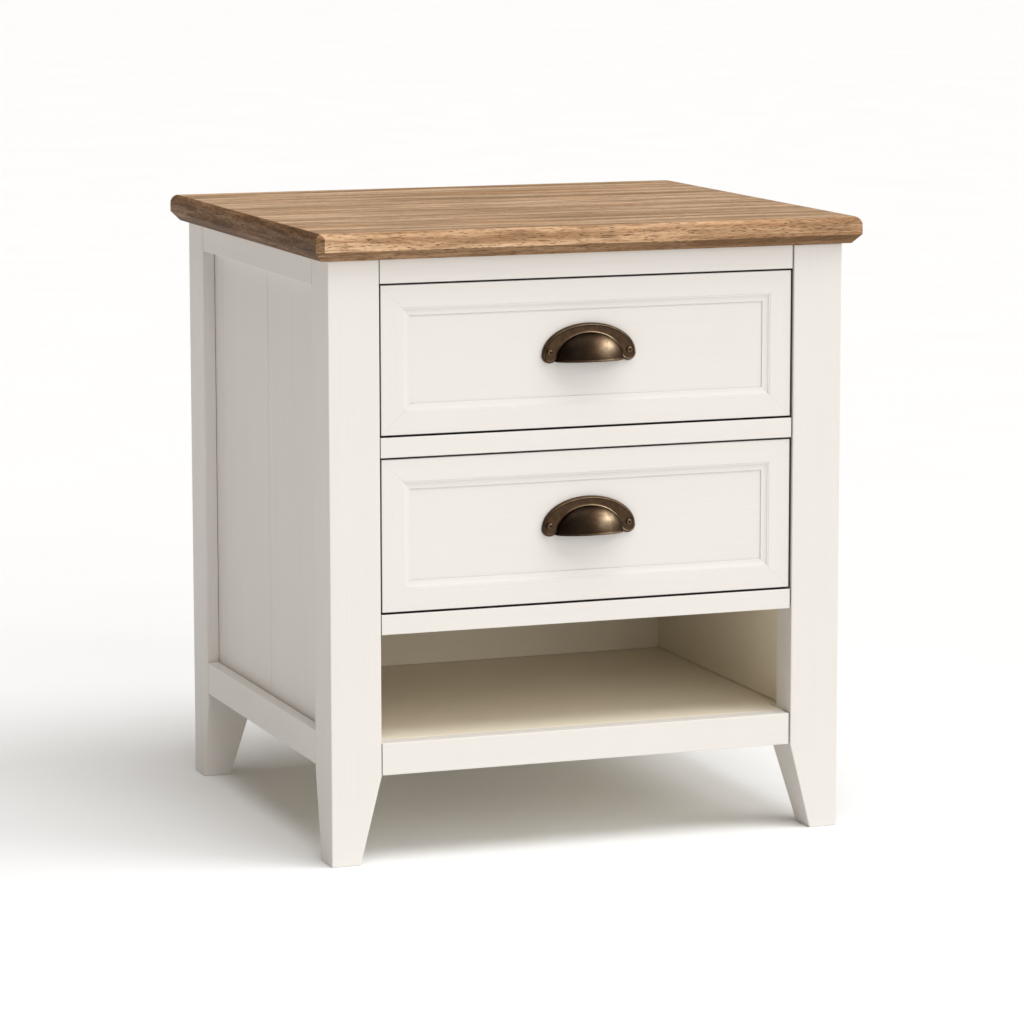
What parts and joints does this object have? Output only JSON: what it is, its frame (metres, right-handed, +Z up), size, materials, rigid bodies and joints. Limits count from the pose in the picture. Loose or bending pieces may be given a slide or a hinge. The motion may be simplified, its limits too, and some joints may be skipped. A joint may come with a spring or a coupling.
{
  "type": "nightstand with drawers",
  "caption": "Painted bedside table with drawers on telescopic runners, cup pulls, an open shelf, tapered feet and a moulded oak top.",
  "frame": {"origin": "on the floor under the middle of the top", "axes": "+Z up, -Y out of the drawer fronts, +X to the right of someone facing the front"},
  "size_m": [0.606, 0.543, 0.66],
  "materials": {
    "painted_wood": "satin off-white paint",
    "oak_top": "brushed brown oak, matt lacquer",
    "bare_wood": "bare sanded birch",
    "zinc_steel": "zinc plated",
    "antique_bronze": "antique bronze, rubbed"
  },
  "bodies": {
    "carcass": {"top": "oak_top", "post_front_left": "painted_wood", "post_front_right": "painted_wood", "post_rear_left": "painted_wood", "post_rear_right": "painted_wood", "front_top_rail": "painted_wood", "front_middle_rail": "painted_wood", "front_lower_rail": "painted_wood", "shelf_front_rail": "painted_wood", "left_side_top_rail": "painted_wood", "left_side_lower_rail": "painted_wood", "left_side_panel": "painted_wood", "left_shelf_wall": "painted_wood", "right_side_top_rail": "painted_wood", "right_side_lower_rail": "painted_wood", "right_side_panel": "painted_wood", "right_shelf_wall": "painted_wood", "left_runner_board": "bare_wood", "right_runner_board": "bare_wood", "shelf": "painted_wood", "shelf_ceiling": "painted_wood", "shelf_back": "painted_wood", "rear_panel": "painted_wood", "upper_runner_fixed_left": "zinc_steel", "upper_runner_fixed_right": "zinc_steel", "lower_runner_fixed_left": "zinc_steel", "lower_runner_fixed_right": "zinc_steel"},
    "upper_drawer": {"upper_front_top": "painted_wood", "upper_front_bottom": "painted_wood", "upper_front_left": "painted_wood", "upper_front_right": "painted_wood", "upper_front_panel": "painted_wood", "upper_box_left": "bare_wood", "upper_box_right": "bare_wood", "upper_box_back": "bare_wood", "upper_box_bottom": "bare_wood", "upper_pull": "antique_bronze", "upper_screw_left": "antique_bronze", "upper_screw_right": "antique_bronze", "upper_runner_inner_left": "zinc_steel", "upper_runner_inner_right": "zinc_steel"},
    "upper_runner_middles": {"upper_runner_middle_left": "zinc_steel", "upper_runner_middle_right": "zinc_steel"},
    "lower_drawer": {"lower_front_top": "painted_wood", "lower_front_bottom": "painted_wood", "lower_front_left": "painted_wood", "lower_front_right": "painted_wood", "lower_front_panel": "painted_wood", "lower_box_left": "bare_wood", "lower_box_right": "bare_wood", "lower_box_back": "bare_wood", "lower_box_bottom": "bare_wood", "lower_pull": "antique_bronze", "lower_screw_left": "antique_bronze", "lower_screw_right": "antique_bronze", "lower_runner_inner_left": "zinc_steel", "lower_runner_inner_right": "zinc_steel"},
    "lower_runner_middles": {"lower_runner_middle_left": "zinc_steel", "lower_runner_middle_right": "zinc_steel"}
  },
  "joints": [
    {"name": "upper_drawer_slide", "type": "slide", "parent": "carcass", "child": "upper_drawer", "axis": [0, -1, 0], "range_m": [0, 0.3]},
    {"name": "upper_runner_slide", "type": "slide", "parent": "carcass", "child": "upper_runner_middles", "axis": [0, -1, 0], "range_m": [0, 0.15]},
    {"name": "lower_drawer_slide", "type": "slide", "parent": "carcass", "child": "lower_drawer", "axis": [0, -1, 0], "range_m": [0, 0.3]},
    {"name": "lower_runner_slide", "type": "slide", "parent": "carcass", "child": "lower_runner_middles", "axis": [0, -1, 0], "range_m": [0, 0.15]}
  ],
  "couplings": [
    {"joint": "upper_runner_slide", "follows": "upper_drawer_slide", "ratio": 0.5},
    {"joint": "lower_runner_slide", "follows": "lower_drawer_slide", "ratio": 0.5}
  ]
}
